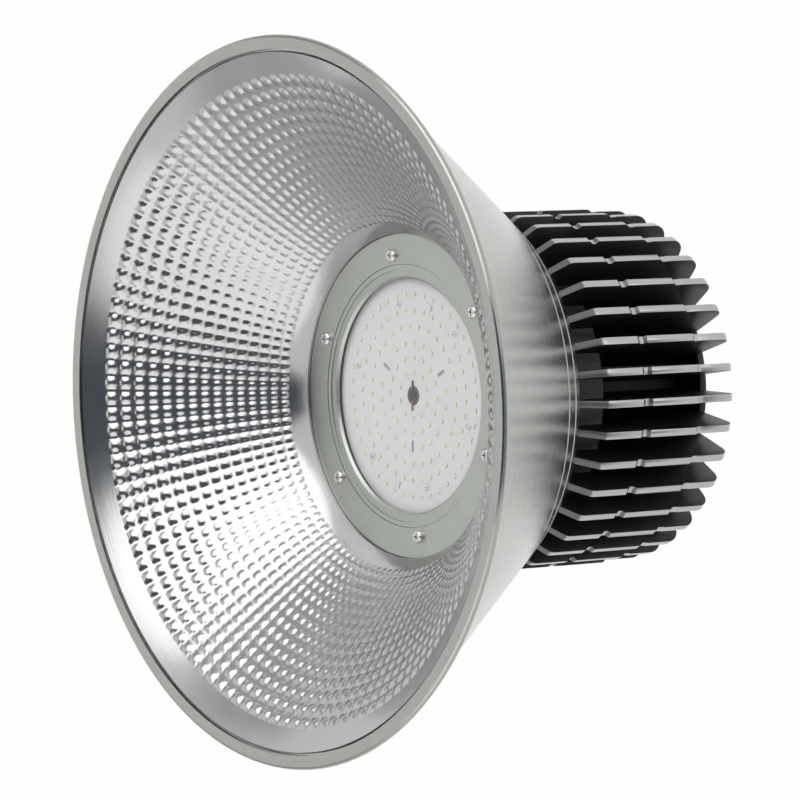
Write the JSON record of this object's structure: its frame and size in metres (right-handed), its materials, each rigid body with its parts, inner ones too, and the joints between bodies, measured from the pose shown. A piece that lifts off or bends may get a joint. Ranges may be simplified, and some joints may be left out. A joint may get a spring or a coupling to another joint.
{
  "type": "high bay light",
  "caption": "High bay light with a wide dimpled aluminium reflector, a round LED board behind a clear cover, a black finned heat sink and a hanging eye.",
  "frame": {"origin": "centre of the rim plane, on the light's axis", "axes": "+Z from the open bowl to the hanging eye, +Y along the eye's bore, +X to the right when looking along +Y"},
  "size_m": [0.4799, 0.48, 0.3405],
  "materials": {
    "polished_aluminium": "bright polished spun sheet with pressed dimples",
    "satin_aluminium": "satin spun sheet with faint turning lines",
    "plain_aluminium": "fine matt plain sheet",
    "zinc_steel": "bright zinc plated",
    "clear_cover": "clear and smooth",
    "seal_rubber": "soft matt black",
    "black_casting": "satin black die casting with bare machined fin edges",
    "white_board": "white solder mask",
    "led_resin": "pale yellow phosphor under clear resin",
    "white_nylon": "moulded white",
    "grey_pad": "soft grey heat pad",
    "red_insulation": "red-brown wire covering",
    "black_insulation": "black wire covering",
    "driver_case": "potted driver in a dark case",
    "black_nylon": "moulded black"
  },
  "bodies": {
    "root": {"reflector": "polished_aluminium", "outer_shade": "satin_aluminium", "flange_ring": "plain_aluminium", "flange_screws": "zinc_steel", "lens_bezel": "plain_aluminium", "lens": "clear_cover", "lens_gasket": "seal_rubber", "reflector_collar": "black_casting", "head_screws": "zinc_steel", "led_board": "white_board", "led_packages": "led_resin", "board_connectors": "white_nylon", "board_screws": "zinc_steel", "thermal_pad": "grey_pad", "lead_grommet": "seal_rubber", "red_lead": "red_insulation", "black_lead": "black_insulation", "heat_sink": "black_casting", "driver_pad": "grey_pad", "driver_module": "driver_case", "rear_cover": "black_casting", "cover_gasket": "seal_rubber", "cover_screws": "zinc_steel", "eye_bolt": "zinc_steel", "eye_washer": "zinc_steel", "lock_nut": "zinc_steel", "gland_body": "black_nylon", "gland_nut": "black_nylon", "gland_seal": "seal_rubber"}
  },
  "joints": []
}
